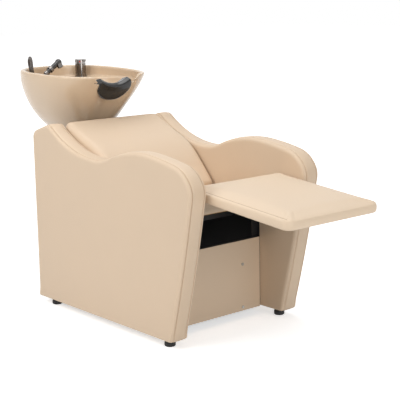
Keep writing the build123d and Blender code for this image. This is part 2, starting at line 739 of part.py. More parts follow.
# Basin: outer skin, bowl, deck recess, neck notch, hollow under the deck and holes
mixer_spot = (mixer_x, mixer_y)
deck_under = basin_floor + hollow_shares[-1][0] * basin_depth
with BuildPart() as basin:
    for shares in outer_shares:
        height, points = basin_section(shares)
        climb = atan2(rim_rise * shares[0] ** rise_power, basin_length)
        with BuildSketch(Plane(origin=(0, basin_front_y, height), x_dir=(1, 0, 0),
                               z_dir=(0, -sin(climb), cos(climb)))):
            with BuildLine():
                Spline(*[(x, y - basin_front_y) for x, y in points], periodic=True)
            make_face()
    loft()
    fillet(basin.faces().sort_by(Axis.Z)[0].edges(), radius=basin_bottom_edge)
    with BuildSketch(Plane.XY.offset(deck_height)):
        with BuildLine():
            Spline(*section(basin_width / 2 - rim_band, basin_front_y + rim_band,
                            rear_y - outer_shares[-1][3] * basin_length - rim_band,
                            outer_shares[-1][4] * basin_length), periodic=True)
        make_face()
    extrude(amount=deck_drop + rim_rise + overrun, mode=Mode.SUBTRACT)
    fillet(basin.faces().sort_by(Axis.Z)[-1].edges(), radius=rim_edge)
    bowl_levels = [basin_section(shares) for shares in bowl_shares]
    bowl_levels.append((deck_height + overrun, bowl_levels[-1][1]))
    for height, points in bowl_levels:
        with BuildSketch(Plane.XY.offset(height)):
            with BuildLine():
                Spline(*points, periodic=True)
            make_face()
    loft(mode=Mode.SUBTRACT)
    notch_radius = (notch_half_width ** 2 + notch_depth ** 2) / (2 * notch_depth)
    notch_centre = rim_height - notch_depth + notch_radius
    with BuildSketch(Plane.XZ.offset(-basin_front_y + overrun)):
        with Locations((0, notch_centre)):
            Circle(notch_radius)
    extrude(amount=-notch_reach, mode=Mode.SUBTRACT)
    for level, wide, middle, half_long in hollow_shares:
        with BuildSketch(Plane.XY.offset(basin_floor + level * basin_depth)):
            with Locations((0, basin_front_y + middle * basin_length)):
                SlotOverall(wide * basin_width, 2 * half_long * basin_length)
    loft(mode=Mode.SUBTRACT)
    with BuildSketch(Plane.XY.offset(basin_floor)):
        with Locations((0, drain_y)):
            Circle(drain_radius + seat_gap)
    extrude(amount=deck_height - basin_floor, mode=Mode.SUBTRACT)
    with BuildSketch(Plane.XY.offset(deck_under)):
        with Locations(mixer_spot):
            Circle(mixer_shank_radius + seat_gap)
        with Locations(hose_spot):
            Circle(grommet_neck)
    extrude(amount=deck_height + overrun - deck_under, mode=Mode.SUBTRACT)
basin.part.label = "basin"
export_step(basin.part, "parts/basin.step")

# Neck rest: its profile is turned round the notch's own centre and fitted over the lip
neck_front_y = basin_front_y + outer_shares[-1][4] * basin_length - neck_lap
with BuildPart() as neck_rest:
    with BuildSketch(Plane.YZ):
        with BuildLine():
            FilletPolyline(*[(neck_front_y + back * neck_reach, rim_height - notch_depth + up * neck_drop)
                             for back, up in neck_shares], radius=neck_edge, close=True)
        make_face()
    turned = revolve(axis=Axis((0, 0, notch_centre), (0, 1, 0)), revolution_arc=2 * neck_half_angle,
                     mode=Mode.PRIVATE)
    add(turned.rotate(Axis((0, 0, notch_centre), (0, 1, 0)), -neck_half_angle))
    with BuildSketch(Plane.XZ.offset(-neck_front_y)):
        with Locations((0, rim_height - notch_depth - neck_drop + neck_lobe_radius)):
            Circle(neck_lobe_radius)
            Rectangle(2 * neck_half_width, 2 * neck_lobe_radius, mode=Mode.INTERSECT)
    extrude(amount=-neck_reach, mode=Mode.INTERSECT)
    for shift in ((0, seat_gap, 0), (0, -seat_gap, 0), (0, 0, seat_gap), (0, 0, -seat_gap)):
        add(basin.part.moved(Location(shift)), mode=Mode.SUBTRACT)
neck_solid = neck_rest.solids().sort_by(SortBy.VOLUME)[-1]
neck_solid.label = "neck_rest"
export_step(neck_solid, "parts/neck_rest.step")

# Basin carrier: a cradle under the bowl turns on a pin between two arms of the frame
with BuildPart() as basin_cradle:
    with BuildSketch(Plane.XY.offset(basin_floor)):
        with Locations((0, pivot_y - ear_radius)):
            Rectangle(2 * cradle_half_width, cradle_length, align=(Align.CENTER, Align.MIN))
        with Locations((0, drain_y)):
            Circle(nut_radius + seat_gap, mode=Mode.SUBTRACT)
    extrude(amount=-cradle_thickness)
    for sign in (-1, 1):
        with BuildSketch(Plane.YZ.offset(sign * ear_x)):
            with Locations((pivot_y, pivot_height)):
                Circle(ear_radius)
                Rectangle(2 * ear_radius, basin_floor - pivot_height, align=(Align.CENTER, Align.MIN))
                Circle(pivot_radius + running_gap, mode=Mode.SUBTRACT)
        extrude(amount=sign * ear_thickness)
basin_cradle.part.label = "basin_cradle"
export_step(basin_cradle.part, "parts/basin_cradle.step")

arm_near_x = ear_x + ear_thickness + washer_thickness
arm_root_y = rear_tube_y - tube_size
with BuildPart() as basin_arms:
    for sign in (-1, 1):
        with BuildSketch(Plane.YZ.offset(sign * arm_near_x)):
            with BuildLine():
                Polyline((arm_root_y, rear_tube_z - tube_size), (pivot_y, pivot_height - basin_arm_radius),
                         (pivot_y, pivot_height + basin_arm_radius), (arm_root_y, rear_tube_z + tube_size),
                         close=True)
            make_face()
            with Locations((pivot_y, pivot_height)):
                Circle(basin_arm_radius)
                Circle(pivot_radius, mode=Mode.SUBTRACT)
            with Locations((rear_tube_y, rear_tube_z)):
                Rectangle(tube_size, tube_size, mode=Mode.SUBTRACT)
        extrude(amount=sign * basin_arm_thickness)
basin_arms.part.label = "basin_arms"
export_step(basin_arms.part, "parts/basin_arms.step")

pin_end_x = arm_near_x + basin_arm_thickness
lever_x = pin_end_x + seat_gap
with BuildPart() as tilt_pin:
    with BuildSketch(Plane.YZ.offset(-pin_end_x - pin_head_height)):
        with Locations((pivot_y, pivot_height)):
            Circle(washer_radius)
    extrude(amount=pin_head_height)
    with BuildSketch(Plane.YZ.offset(-pin_end_x)):
        with Locations((pivot_y, pivot_height)):
            Circle(pivot_radius)
    extrude(amount=2 * pin_end_x + lever_hub_width + 2 * seat_gap)
    with BuildSketch(Plane.YZ.offset(lever_x + lever_hub_width + seat_gap)):
        with Locations((pivot_y, pivot_height)):
            Circle(pin_head_radius)
    extrude(amount=pin_head_height)
tilt_pin.part.label = "tilt_pin"
export_step(tilt_pin.part, "parts/tilt_pin.step")

with BuildPart() as tilt_washers:
    for sign in (-1, 1):
        with BuildSketch(Plane.YZ.offset(sign * (ear_x + ear_thickness + seat_gap))):
            with Locations((pivot_y, pivot_height)):
                Circle(washer_radius)
                Circle(pivot_radius, mode=Mode.SUBTRACT)
        extrude(amount=sign * (washer_thickness - seat_gap))
tilt_washers.part.label = "tilt_washers"
export_step(tilt_washers.part, "parts/tilt_washers.step")

lever_plane = Plane(origin=(lever_x + lever_hub_width / 2, pivot_y, pivot_height), z_dir=(0, 1, 0))
with BuildPart() as tilt_lever:
    with BuildSketch(Plane.YZ.offset(lever_x)):
        with Locations((pivot_y, pivot_height)):
            Circle(lever_hub_radius)
    extrude(amount=lever_hub_width)
    with BuildSketch(lever_plane):
        Circle(lever_radius)
    extrude(amount=lever_length)
    with Locations(lever_plane.offset(lever_length)):
        Sphere(lever_knob_radius)
    with BuildSketch(Plane.YZ.offset(lever_x)):
        with Locations((pivot_y, pivot_height)):
            Circle(pivot_radius + running_gap)
    extrude(amount=lever_hub_width, mode=Mode.SUBTRACT)
tilt_lever.part.label = "tilt_lever"
export_step(tilt_lever.part, "parts/tilt_lever.step")

# Drain, turned about its own upright axis
bowl_floor = basin_floor + bowl_shares[0][0] * basin_depth
bore_radius = drain_radius - drain_wall
nut_top = basin_floor - gasket_height
trap_top = nut_top - nut_height - drain_wall
drain_plane = Plane(origin=(0, drain_y, 0), x_dir=(1, 0, 0), z_dir=(0, -1, 0))
drain_axis = Axis((0, drain_y, 0), (0, 0, 1))

with BuildPart() as drain_flange:
    with BuildSketch(drain_plane):
        with BuildLine():
            Polyline((bore_radius, bowl_floor + drain_flange_height),
                     (drain_flange_radius - drain_flange_height, bowl_floor + drain_flange_height),
                     (drain_flange_radius, bowl_floor), (drain_radius, bowl_floor), (drain_radius, trap_top),
                     (bore_radius, trap_top), close=True)
        make_face()
    revolve(axis=drain_axis)
drain_flange.part.label = "drain_flange"
export_step(drain_flange.part, "parts/drain_flange.step")

for name, outer, top, height in (("drain_gasket", nut_radius - drain_wall, basin_floor, gasket_height),
                                 ("drain_nut", nut_radius, nut_top, nut_height)):
    with BuildPart() as ring:
        with BuildSketch(Plane.XY.offset(top)):
            with Locations((0, drain_y)):
                Circle(outer)
                Circle(drain_radius, mode=Mode.SUBTRACT)
        extrude(amount=-height)
    ring.part.label = name
    export_step(ring.part, f"parts/{name}.step")

with BuildPart() as hair_strainer:
    with BuildSketch(drain_plane):
        with BuildLine():
            lip = bowl_floor + drain_flange_height + seat_gap
            Polyline((0, lip - strainer_height), (strainer_radius, lip - strainer_height),
                     (strainer_radius, lip), (drain_radius, lip), (drain_radius, lip + strainer_wall),
                     (strainer_radius - strainer_wall, lip + strainer_wall),
                     (strainer_radius - strainer_wall, lip - strainer_height + strainer_wall),
                     (0, lip - strainer_height + strainer_wall), close=True)
        make_face()
    revolve(axis=drain_axis)
    with BuildSketch(Plane.XY.offset(lip - strainer_height)):
        with Locations((0, drain_y)):
            with PolarLocations(strainer_radius * slot_place_share, strainer_slots):
                SlotOverall(strainer_radius / 2, slot_width)
    extrude(amount=strainer_wall, mode=Mode.SUBTRACT)
hair_strainer.part.label = "hair_strainer"
export_step(hair_strainer.part, "parts/hair_strainer.step")

outlet_plane = Plane(origin=(0, drain_y, trap_top - trap_height / 3), x_dir=(1, 0, 0), z_dir=(0, 1, 0))
outlet_foot = trap_radius + outlet_collar_length
with BuildPart() as trap_body:
    with BuildSketch(Plane.XY.offset(trap_top)):
        with Locations((0, drain_y)):
            Circle(trap_radius)
    extrude(amount=-trap_height)
    with BuildSketch(outlet_plane):
        Circle(outlet_collar_radius)
    extrude(amount=outlet_foot)
    with BuildSketch(outlet_plane):
        Circle(outlet_radius)
    extrude(amount=outlet_foot + outlet_length)
    with BuildSketch(Plane.XY.offset(trap_top - drain_wall)):
        with Locations((0, drain_y)):
            Circle(trap_radius - drain_wall)
    extrude(amount=2 * drain_wall - trap_height, mode=Mode.SUBTRACT)
    with BuildSketch(Plane.XY.offset(trap_top)):
        with Locations((0, drain_y)):
            Circle(bore_radius)
    extrude(amount=-2 * drain_wall, mode=Mode.SUBTRACT)
    with BuildSketch(outlet_plane):
        Circle(outlet_radius - drain_wall)
    extrude(amount=outlet_foot + outlet_length, mode=Mode.SUBTRACT)
trap_body.part.label = "trap_body"
export_step(trap_body.part, "parts/trap_body.step")

# Mixer tap on the deck
mixer_top = deck_height + mixer_height
with BuildPart() as mixer_body:
    with BuildSketch(Plane.XY.offset(deck_height)):
        with Locations(mixer_spot):
            Circle(mixer_radius)
    extrude(amount=mixer_height)
    with BuildSketch(Plane.XY.offset(deck_height)):
        with Locations(mixer_spot):
            Circle(mixer_shank_radius)
    extrude(amount=-mixer_shank_length)
    with BuildSketch(Plane.XY.offset(deck_height - mixer_shank_length)):
        with Locations(*[(mixer_x, mixer_y + step * tail_spacing / 2) for step in (-1, 1)]):
            Circle(tail_radius)
    extrude(amount=-tail_drop)
mixer_body.part.label = "mixer_body"
export_step(mixer_body.part, "parts/mixer_body.step")

for name, inner, outer, foot, height in (
        ("mixer_base_ring", mixer_radius, mixer_ring_radius, deck_height, mixer_ring_height),
        ("mixer_nut", mixer_shank_radius, mixer_nut_radius, deck_under - mixer_nut_height, mixer_nut_height)):
    with BuildPart() as ring:
        with BuildSketch(Plane.XY.offset(foot)):
            with Locations(mixer_spot):
                Circle(outer)
                Circle(inner, mode=Mode.SUBTRACT)
        extrude(amount=height)
    ring.part.label = name
    export_step(ring.part, f"parts/{name}.step")

# The turret swivels on the body; the lever lifts on a small pin in the turret's rear lug
turret_top = mixer_top + seat_gap + turret_height
lug_z = turret_top + cap_clearance + lug_radius
lug_y = mixer_y + mixer_radius - lug_radius - lug_radius / 2
with BuildPart() as mixer_turret:
    with BuildSketch(Plane.XY.offset(mixer_top + seat_gap)):
        with Locations(mixer_spot):
            Circle(mixer_radius)
    extrude(amount=turret_height)
    with BuildSketch(Plane.YZ.offset(mixer_x)):
        with Locations((lug_y, lug_z)):
            Circle(lug_radius)
            Rectangle(2 * lug_radius, lug_z - turret_top, align=(Align.CENTER, Align.MAX))
    extrude(amount=lug_radius, both=True)
    with BuildSketch(Plane.YZ.offset(mixer_x)):
        with Locations((lug_y, lug_z)):
            Circle(lug_radius / 2)
    extrude(amount=2 * lug_radius, both=True)
mixer_turret.part.label = "mixer_turret"
export_step(mixer_turret.part, "parts/mixer_turret.step")

cap_foot = turret_top + cap_clearance
mark_plane = Plane(origin=(mixer_x - cap_radius * sin(radians(mark_turn)),
                           mixer_y - cap_radius * cos(radians(mark_turn)), cap_foot + mark_rise),
                   z_dir=(-sin(radians(mark_turn)), -cos(radians(mark_turn)), 0))
with BuildPart() as mixer_mark:
    with BuildSketch(mark_plane.offset(-mark_depth)):
        Circle(mark_radius)
    extrude(amount=mark_depth + seat_gap)
mixer_mark.part.label = "mixer_mark"
export_step(mixer_mark.part, "parts/mixer_mark.step")

with BuildPart() as mixer_lever:
    with BuildSketch(Plane.XY.offset(cap_foot)):
        with Locations(mixer_spot):
            Circle(cap_radius)
    extrude(amount=cap_height)
    with BuildSketch(Plane.XY.offset(cap_foot + cap_height)):
        with Locations((mixer_x, mixer_y - (lever_tip - lever_width / 2) / 2)):
            SlotCenterToCenter(lever_tip - lever_width / 2, lever_width, rotation=90)
    extrude(amount=-lever_thickness)
    fillet(mixer_lever.faces().sort_by(Axis.Z)[-1].edges(), radius=cap_edge)
    with BuildSketch(Plane.YZ.offset(mixer_x)):
        with Locations((lug_y, lug_z)):
            Rectangle(lug_radius * lug_room_shares[0], lug_radius * lug_room_shares[1])
    extrude(amount=lug_radius + seat_gap, both=True, mode=Mode.SUBTRACT)
    with BuildSketch(Plane.YZ.offset(mixer_x)):
        with Locations((lug_y, lug_z)):
            Circle(lug_radius / 2 + running_gap)
    extrude(amount=2 * lug_radius + seat_gap, both=True, mode=Mode.SUBTRACT)
    add(mixer_mark.part, mode=Mode.SUBTRACT)
mixer_lever.part.label = "mixer_lever"
export_step(mixer_lever.part, "parts/mixer_lever.step")

# Hand shower: handle with its elbow, head, spray face and hose nut
lean = radians(shower_lean)
shower_plane = Plane(origin=shower_foot, x_dir=(0, 1, 0), z_dir=(cos(lean), 0, sin(lean)))
elbow_plane = shower_plane.offset(shower_length)
head_plane = Plane(origin=elbow_plane.origin, z_dir=head_direction_shares)
holder_reach = holder_share * shower_length
with BuildPart() as shower_handle:
    for reach, radius in ((0, shower_foot_radius),
                          (holder_reach, (shower_foot_radius + shower_grip_radius) / 2),
                          (shower_length * grip_share, shower_grip_radius),
                          (shower_length, shower_grip_radius)):
        with BuildSketch(shower_plane.offset(reach)):
            Circle(radius)
    loft()
    with Locations(elbow_plane):
        Sphere(elbow_radius)
    with BuildSketch(head_plane.offset(elbow_radius / 2)):
        Circle(head_radius + overrun)
    extrude(amount=head_length, mode=Mode.SUBTRACT)
shower_handle.part.label = "shower_handle"
export_step(shower_handle.part, "parts/shower_handle.step")

head_foot = elbow_radius / 2
with BuildPart() as shower_head:
    for reach, radius in ((head_foot, elbow_radius * head_neck_share),
                          (head_length - face_thickness, head_radius)):
        with BuildSketch(head_plane.offset(reach)):
            Circle(radius)
    loft()
    with BuildSketch(head_plane.offset(head_length - 2 * face_thickness)):
        Circle(face_radius + seat_gap / 2)
    extrude(amount=face_thickness, mode=Mode.SUBTRACT)
shower_head.part.label = "shower_head"
export_step(shower_head.part, "parts/shower_head.step")

with BuildPart() as spray_face:
    with BuildSketch(head_plane.offset(head_length - 2 * face_thickness)):
        Circle(face_radius)
    extrude(amount=face_thickness)
    with BuildSketch(head_plane.offset(head_length - face_thickness)):
        with PolarLocations(nozzle_circle, nozzle_count):
            Circle(nozzle_radius)
    extrude(amount=nozzle_radius)
spray_face.part.label = "spray_face"
export_step(spray_face.part, "parts/spray_face.step")

with BuildPart() as hose_nut:
    with BuildSketch(shower_plane):
        Circle(hose_nut_radius)
    extrude(amount=-hose_nut_length)
    chamfer(hose_nut.edges(), length=hose_nut_chamfer)
hose_nut.part.label = "hose_nut"
export_step(hose_nut.part, "parts/hose_nut.step")

# Holder: a foot and post on the deck carry a ring round the handle
ring_plane = shower_plane.offset(holder_reach - holder_ring_width / 2)
ring_bore = (shower_foot_radius + shower_grip_radius) / 2 + seat_gap
holder_x = shower_plane.offset(holder_reach).origin.X
holder_z = shower_plane.offset(holder_reach).origin.Z
with BuildPart() as shower_holder:
    with BuildSketch(Plane.XY.offset(deck_height)):
        with Locations((holder_x, holder_y)):
            Circle(holder_foot_radius)
    extrude(amount=holder_foot_height)
    with BuildSketch(Plane.XY.offset(deck_height)):
        with Locations((holder_x, holder_y)):
            Circle(holder_post_radius)
    extrude(amount=holder_z + holder_post_radius - deck_height)
    with BuildSketch(Plane(origin=(holder_x, holder_y, holder_z), x_dir=(1, 0, 0), z_dir=(0, -1, 0))):
        Circle(holder_arm_radius)
    extrude(amount=holder_y - shower_foot[1])
    with BuildSketch(ring_plane):
        Circle(ring_bore + holder_wall)
    extrude(amount=holder_ring_width)
    with BuildSketch(ring_plane.offset(-overrun)):
        Circle(ring_bore + seat_gap * 2)
    extrude(amount=holder_ring_width + 2 * overrun, mode=Mode.SUBTRACT)
shower_holder.part.label = "shower_holder"
export_step(shower_holder.part, "parts/shower_holder.step")

# Hose: each bend is as large as the runs beside it allow
route = [Vector(*point) for point in hose_route]
bend_radii = []
for before, corner, after in zip(route, route[1:], route[2:]):
    turn = radians((corner - before).get_angle(after - corner))
    bend_radii.append(bend_share * min((corner - before).length, (after - corner).length) / tan(turn / 2))
print("hose bend radii", [round(radius, 1) for radius in bend_radii])
with BuildPart() as shower_hose:
    with BuildLine() as hose_path:
        FilletPolyline(*route, radius=bend_radii)
    with BuildSketch(Plane(origin=route[0], z_dir=route[1] - route[0])):
        Circle(hose_radius)
    sweep()
hose_length = sum(edge.length for edge in hose_path.edges())
print("hose length", round(hose_length, 1), "volume share of section times length",
      round(shower_hose.part.volume / (pi * hose_radius ** 2 * hose_length), 4))
shower_hose.part.label = "shower_hose"
export_step(shower_hose.part, "parts/shower_hose.step")

with BuildPart() as hose_grommet:
    with BuildSketch(Plane(origin=(hose_spot[0], hose_spot[1], 0), x_dir=(1, 0, 0), z_dir=(0, -1, 0))):
        with BuildLine():
            Polyline((hose_radius, deck_under), (grommet_neck, deck_under), (grommet_neck, deck_height),
                     (grommet_radius, deck_height),
                     (hose_radius + grommet_height / 4, deck_height + grommet_height),
                     (0, deck_height + grommet_height), (0, deck_height + grommet_height / 2),
                     (hose_radius, deck_height + grommet_height / 2), close=True)
        make_face()
    revolve(axis=Axis((hose_spot[0], hose_spot[1], 0), (0, 0, 1)))
hose_grommet.part.label = "hose_grommet"
export_step(hose_grommet.part, "parts/hose_grommet.step")
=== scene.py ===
import math

import bmesh
import bpy
import numpy as np
from mathutils import Matrix, Vector, noise
from mathutils.bvhtree import BVHTree
from mathutils.geometry import delaunay_2d_cdt


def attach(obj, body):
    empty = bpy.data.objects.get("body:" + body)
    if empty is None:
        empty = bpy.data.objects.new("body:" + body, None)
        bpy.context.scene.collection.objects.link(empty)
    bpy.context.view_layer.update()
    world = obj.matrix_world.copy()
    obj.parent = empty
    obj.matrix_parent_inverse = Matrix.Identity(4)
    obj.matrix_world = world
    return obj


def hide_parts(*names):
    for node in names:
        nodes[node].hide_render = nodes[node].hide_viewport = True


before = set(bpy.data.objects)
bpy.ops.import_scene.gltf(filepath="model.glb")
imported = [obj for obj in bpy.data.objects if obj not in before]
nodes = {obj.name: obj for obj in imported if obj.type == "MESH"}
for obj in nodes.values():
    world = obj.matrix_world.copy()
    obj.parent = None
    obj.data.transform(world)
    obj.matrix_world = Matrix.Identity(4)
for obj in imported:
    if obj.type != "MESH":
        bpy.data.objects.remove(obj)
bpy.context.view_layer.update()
scene = bpy.context.scene
scene.view_settings.view_transform = "Standard"


def link(obj):
    scene.collection.objects.link(obj)
    return obj


# ---------- camera ----------
CAMERA_PLACE = (-2.562, -3.192, 1.247)
CAMERA_TURN = (40.394, 10.339, 1.092)  # yaw, pitch and roll in degrees
yaw, pitch, roll = (math.radians(turn) for turn in CAMERA_TURN)
forward = Vector((math.sin(yaw) * math.cos(pitch), math.cos(yaw) * math.cos(pitch),
                  -math.sin(pitch)))
level = Vector((math.cos(yaw), -math.sin(yaw), 0))
right = level * math.cos(roll) - level.cross(forward) * math.sin(roll)
up = right.cross(forward)
camera = link(bpy.data.objects.new("camera", bpy.data.cameras.new("camera")))
camera.matrix_world = Matrix(((right.x, up.x, -forward.x, CAMERA_PLACE[0]),
                              (right.y, up.y, -forward.y, CAMERA_PLACE[1]),
                              (right.z, up.z, -forward.z, CAMERA_PLACE[2]), (0, 0, 0, 1)))
camera.data.lens = 94.5
camera.data.sensor_width = 36
camera.data.shift_x = -0.0019
camera.data.shift_y = -0.0275
camera.data.clip_start = 0.05
scene.camera = camera

# ---------- shower hose ----------
HOSE_RADIUS = 0.0065
hose_route = [
    (-0.131, 0.795, 0.913), (-0.131, 0.795, 0.945), (-0.136, 0.801, 0.978),
    (-0.141, 0.788, 1.003), (-0.150, 0.761, 1.003), (-0.157, 0.745, 0.978),
    (-0.158, 0.741, 0.950), (-0.150, 0.744, 0.925), (-0.128, 0.750, 0.914),
    (-0.102489, 0.755, 0.915351), (-0.084509, 0.755, 0.927941),
]


def round_line(name, kind, points, radius, resolution):
    """A curve of that kind along the points, as thick as the radius says, and its spline."""
    curve = bpy.data.curves.new(name, "CURVE")
    curve.dimensions = "3D"
    spline = curve.splines.new(kind)
    spline.points.add(len(points) - 1)
    for point, place in zip(spline.points, points):
        point.co = (*place, 1)
    curve.bevel_depth = radius
    curve.bevel_resolution = resolution
    return curve, spline


hose_curve, hose_spline = round_line("hose", "NURBS", hose_route, HOSE_RADIUS, 8)
hose_spline.order_u = 3
hose_spline.use_endpoint_u = True
hose_curve.resolution_u = 16
hose = link(bpy.data.objects.new("hose", hose_curve))


# ---------- materials ----------
def srgb(red, green, blue):
    return tuple((c / 255 / 12.92) if c <= 10 else ((c / 255 + 0.055) / 1.055) ** 2.4
                 for c in (red, green, blue)) + (1.0,)


def new_material(name):
    material = bpy.data.materials.new(name)
    material.use_nodes = True
    tree = material.node_tree
    shader = tree.nodes["Principled BSDF"]
    return material, tree, shader


def textured(name, colour, roughness, spread=0.06, patch=9.0, grain=700.0, bump=0.0002,
             strength=0.35, kind="noise", metallic=0.0, coat=0.0, coat_roughness=0.1, sheen=0.0,
             rough_spread=0.08, ior=1.45):
    """A procedural surface: colour patches, a fine bump and some unevenness in its roughness."""
    material, tree, shader = new_material(name)
    link_up = tree.links.new
    place = tree.nodes.new("ShaderNodeTexCoord")
    clouds = tree.nodes.new("ShaderNodeTexNoise")
    clouds.inputs["Scale"].default_value = patch
    clouds.inputs["Detail"].default_value = 4
    link_up(place.outputs["Object"], clouds.inputs["Vector"])
    blend = tree.nodes.new("ShaderNodeMix")
    blend.data_type = "RGBA"
    blend.inputs["A"].default_value = tuple(c * (1 - spread) for c in colour[:3]) + (1,)
    blend.inputs["B"].default_value = tuple(min(1.0, c * (1 + spread)) for c in colour[:3]) + (1,)
    link_up(clouds.outputs["Fac"], blend.inputs["Factor"])
    link_up(blend.outputs["Result"], shader.inputs["Base Color"])
    if kind == "leather":
        cells = tree.nodes.new("ShaderNodeTexVoronoi")
        cells.feature = "DISTANCE_TO_EDGE"
        cells.inputs["Scale"].default_value = grain
        bend = tree.nodes.new("ShaderNodeTexNoise")
        bend.inputs["Scale"].default_value = grain * 0.4
        bend.inputs["Detail"].default_value = 3
        link_up(place.outputs["Object"], bend.inputs["Vector"])
        link_up(place.outputs["Object"], cells.inputs["Vector"])
        soft = tree.nodes.new("ShaderNodeMapRange")
        soft.inputs["From Max"].default_value = 0.12
        link_up(cells.outputs["Distance"], soft.inputs["Value"])
        total = tree.nodes.new("ShaderNodeMath")
        total.operation = "ADD"
        link_up(soft.outputs["Result"], total.inputs[0])
        link_up(bend.outputs["Fac"], total.inputs[1])
        height = total.outputs["Value"]
    else:
        fine = tree.nodes.new("ShaderNodeTexNoise")
        fine.inputs["Scale"].default_value = grain
        fine.inputs["Detail"].default_value = 5
        link_up(place.outputs["Object"], fine.inputs["Vector"])
        height = fine.outputs["Fac"]
    bumps = tree.nodes.new("ShaderNodeBump")
    bumps.inputs["Strength"].default_value = strength
    bumps.inputs["Distance"].default_value = bump
    link_up(height, bumps.inputs["Height"])
    link_up(bumps.outputs["Normal"], shader.inputs["Normal"])
    worn = tree.nodes.new("ShaderNodeMapRange")
    worn.inputs["To Min"].default_value = max(0.02, roughness - rough_spread)
    worn.inputs["To Max"].default_value = min(1.0, roughness + rough_spread)
    link_up(clouds.outputs["Fac"], worn.inputs["Value"])
    link_up(worn.outputs["Result"], shader.inputs["Roughness"])
    shader.inputs["Metallic"].default_value = metallic
    shader.inputs["Coat Weight"].default_value = coat
    shader.inputs["Coat Roughness"].default_value = coat_roughness
    shader.inputs["Sheen Weight"].default_value = sheen
    shader.inputs["IOR"].default_value = ior
    return material


hide = {"roughness": 0.5, "spread": 0.03, "patch": 5.0, "kind": "leather", "grain": 620,
        "bump": 0.00018, "strength": 0.3, "sheen": 0.08}
leather = textured("leather", srgb(214, 191, 165), **hide)
# the leg rest's leather: the same hide painted lighter, for the light from above on its top
leather_painted_light = textured("leather_painted_light", srgb(221, 199, 173), **hide)
thread = textured("thread", srgb(168, 143, 115), 0.75, grain=2500, bump=0.0002, strength=0.6)
ceramic = textured("ceramic", srgb(210, 186, 158), 0.22, spread=0.015, patch=3.0, grain=60,
                   bump=0.0003, strength=0.06, coat=0.2, coat_roughness=0.06, rough_spread=0.03,
                   ior=1.4)
gel = textured("gel", srgb(24, 24, 25), 0.2, spread=0.15, grain=900, bump=0.0001, strength=0.25,
               rough_spread=0.06, coat=0.15, coat_roughness=0.12)
chrome = textured("chrome", srgb(128, 123, 119), 0.14, spread=0.02, grain=300, bump=0.00004,
                  strength=0.1, metallic=1.0, rough_spread=0.03)
steel = textured("steel", srgb(176, 174, 170), 0.3, spread=0.04, grain=900, bump=0.00005,
                 strength=0.3, metallic=1.0)
brass = textured("brass", srgb(196, 162, 98), 0.3, spread=0.05, grain=900, bump=0.00005,
                 strength=0.3, metallic=1.0)
black_paint = textured("black_paint", srgb(22, 22, 23), 0.42, spread=0.15, grain=1400,
                       bump=0.00012, strength=0.35)
black_plastic = textured("black_plastic", srgb(38, 37, 37), 0.45, spread=0.1, grain=1500,
                         bump=0.0001, strength=0.3)
shower_black = textured("shower_black", srgb(46, 43, 41), 0.22, spread=0.1, grain=1200,
                        bump=0.00005, strength=0.2, coat=0.4)
hose_grey = textured("hose_grey", srgb(74, 66, 60), 0.3, spread=0.1, grain=1500, bump=0.0001,
                     strength=0.3)
rubber = textured("rubber", srgb(25, 25, 26), 0.6, spread=0.12, grain=1200, bump=0.00015,
                  strength=0.4)
grey_rubber = textured("grey_rubber", srgb(88, 86, 84), 0.6, spread=0.08, grain=1200, bump=0.0001)
red = textured("red", srgb(176, 32, 28), 0.25, spread=0.04, grain=900, bump=0.00003, strength=0.1)
white_plastic = textured("white_plastic", srgb(214, 213, 208), 0.4, spread=0.03, grain=1200,
                         bump=0.00006)


# the space between the side panels, where the leather is painted near black as shade in that recess
SHADE_BOX_LOW, SHADE_BOX_HIGH = (-0.2418, -0.2535, 0.0), (0.2418, 0.6, 0.43)


def paint_shade_inside(material, low, high, colour):
    """Turns a material to that colour inside a box: painted shade."""
    tree = material.node_tree
    shader = tree.nodes["Principled BSDF"]
    outer = shader.inputs["Base Color"].links[0].from_socket
    place = tree.nodes.new("ShaderNodeTexCoord")
    split = tree.nodes.new("ShaderNodeSeparateXYZ")
    tree.links.new(place.outputs["Object"], split.inputs["Vector"])
    mask = None
    for axis, least, most in zip("XYZ", low, high):
        for way, limit in (("GREATER_THAN", least), ("LESS_THAN", most)):
            test = tree.nodes.new("ShaderNodeMath")
            test.operation = way
            test.inputs[1].default_value = limit
            tree.links.new(split.outputs[axis], test.inputs[0])
            if mask:
                both = tree.nodes.new("ShaderNodeMath")
                both.operation = "MULTIPLY"
                tree.links.new(mask, both.inputs[0])
                tree.links.new(test.outputs["Value"], both.inputs[1])
                test = both
            mask = test.outputs["Value"]
    blend = tree.nodes.new("ShaderNodeMix")
    blend.data_type = "RGBA"
    blend.inputs["B"].default_value = colour
    tree.links.new(mask, blend.inputs["Factor"])
    tree.links.new(outer, blend.inputs["A"])
    tree.links.new(blend.outputs["Result"], shader.inputs["Base Color"])


# painted shade: the leather under the seat and behind the front panel turns near black
paint_shade_inside(leather, SHADE_BOX_LOW, SHADE_BOX_HIGH, srgb(20, 19, 19))


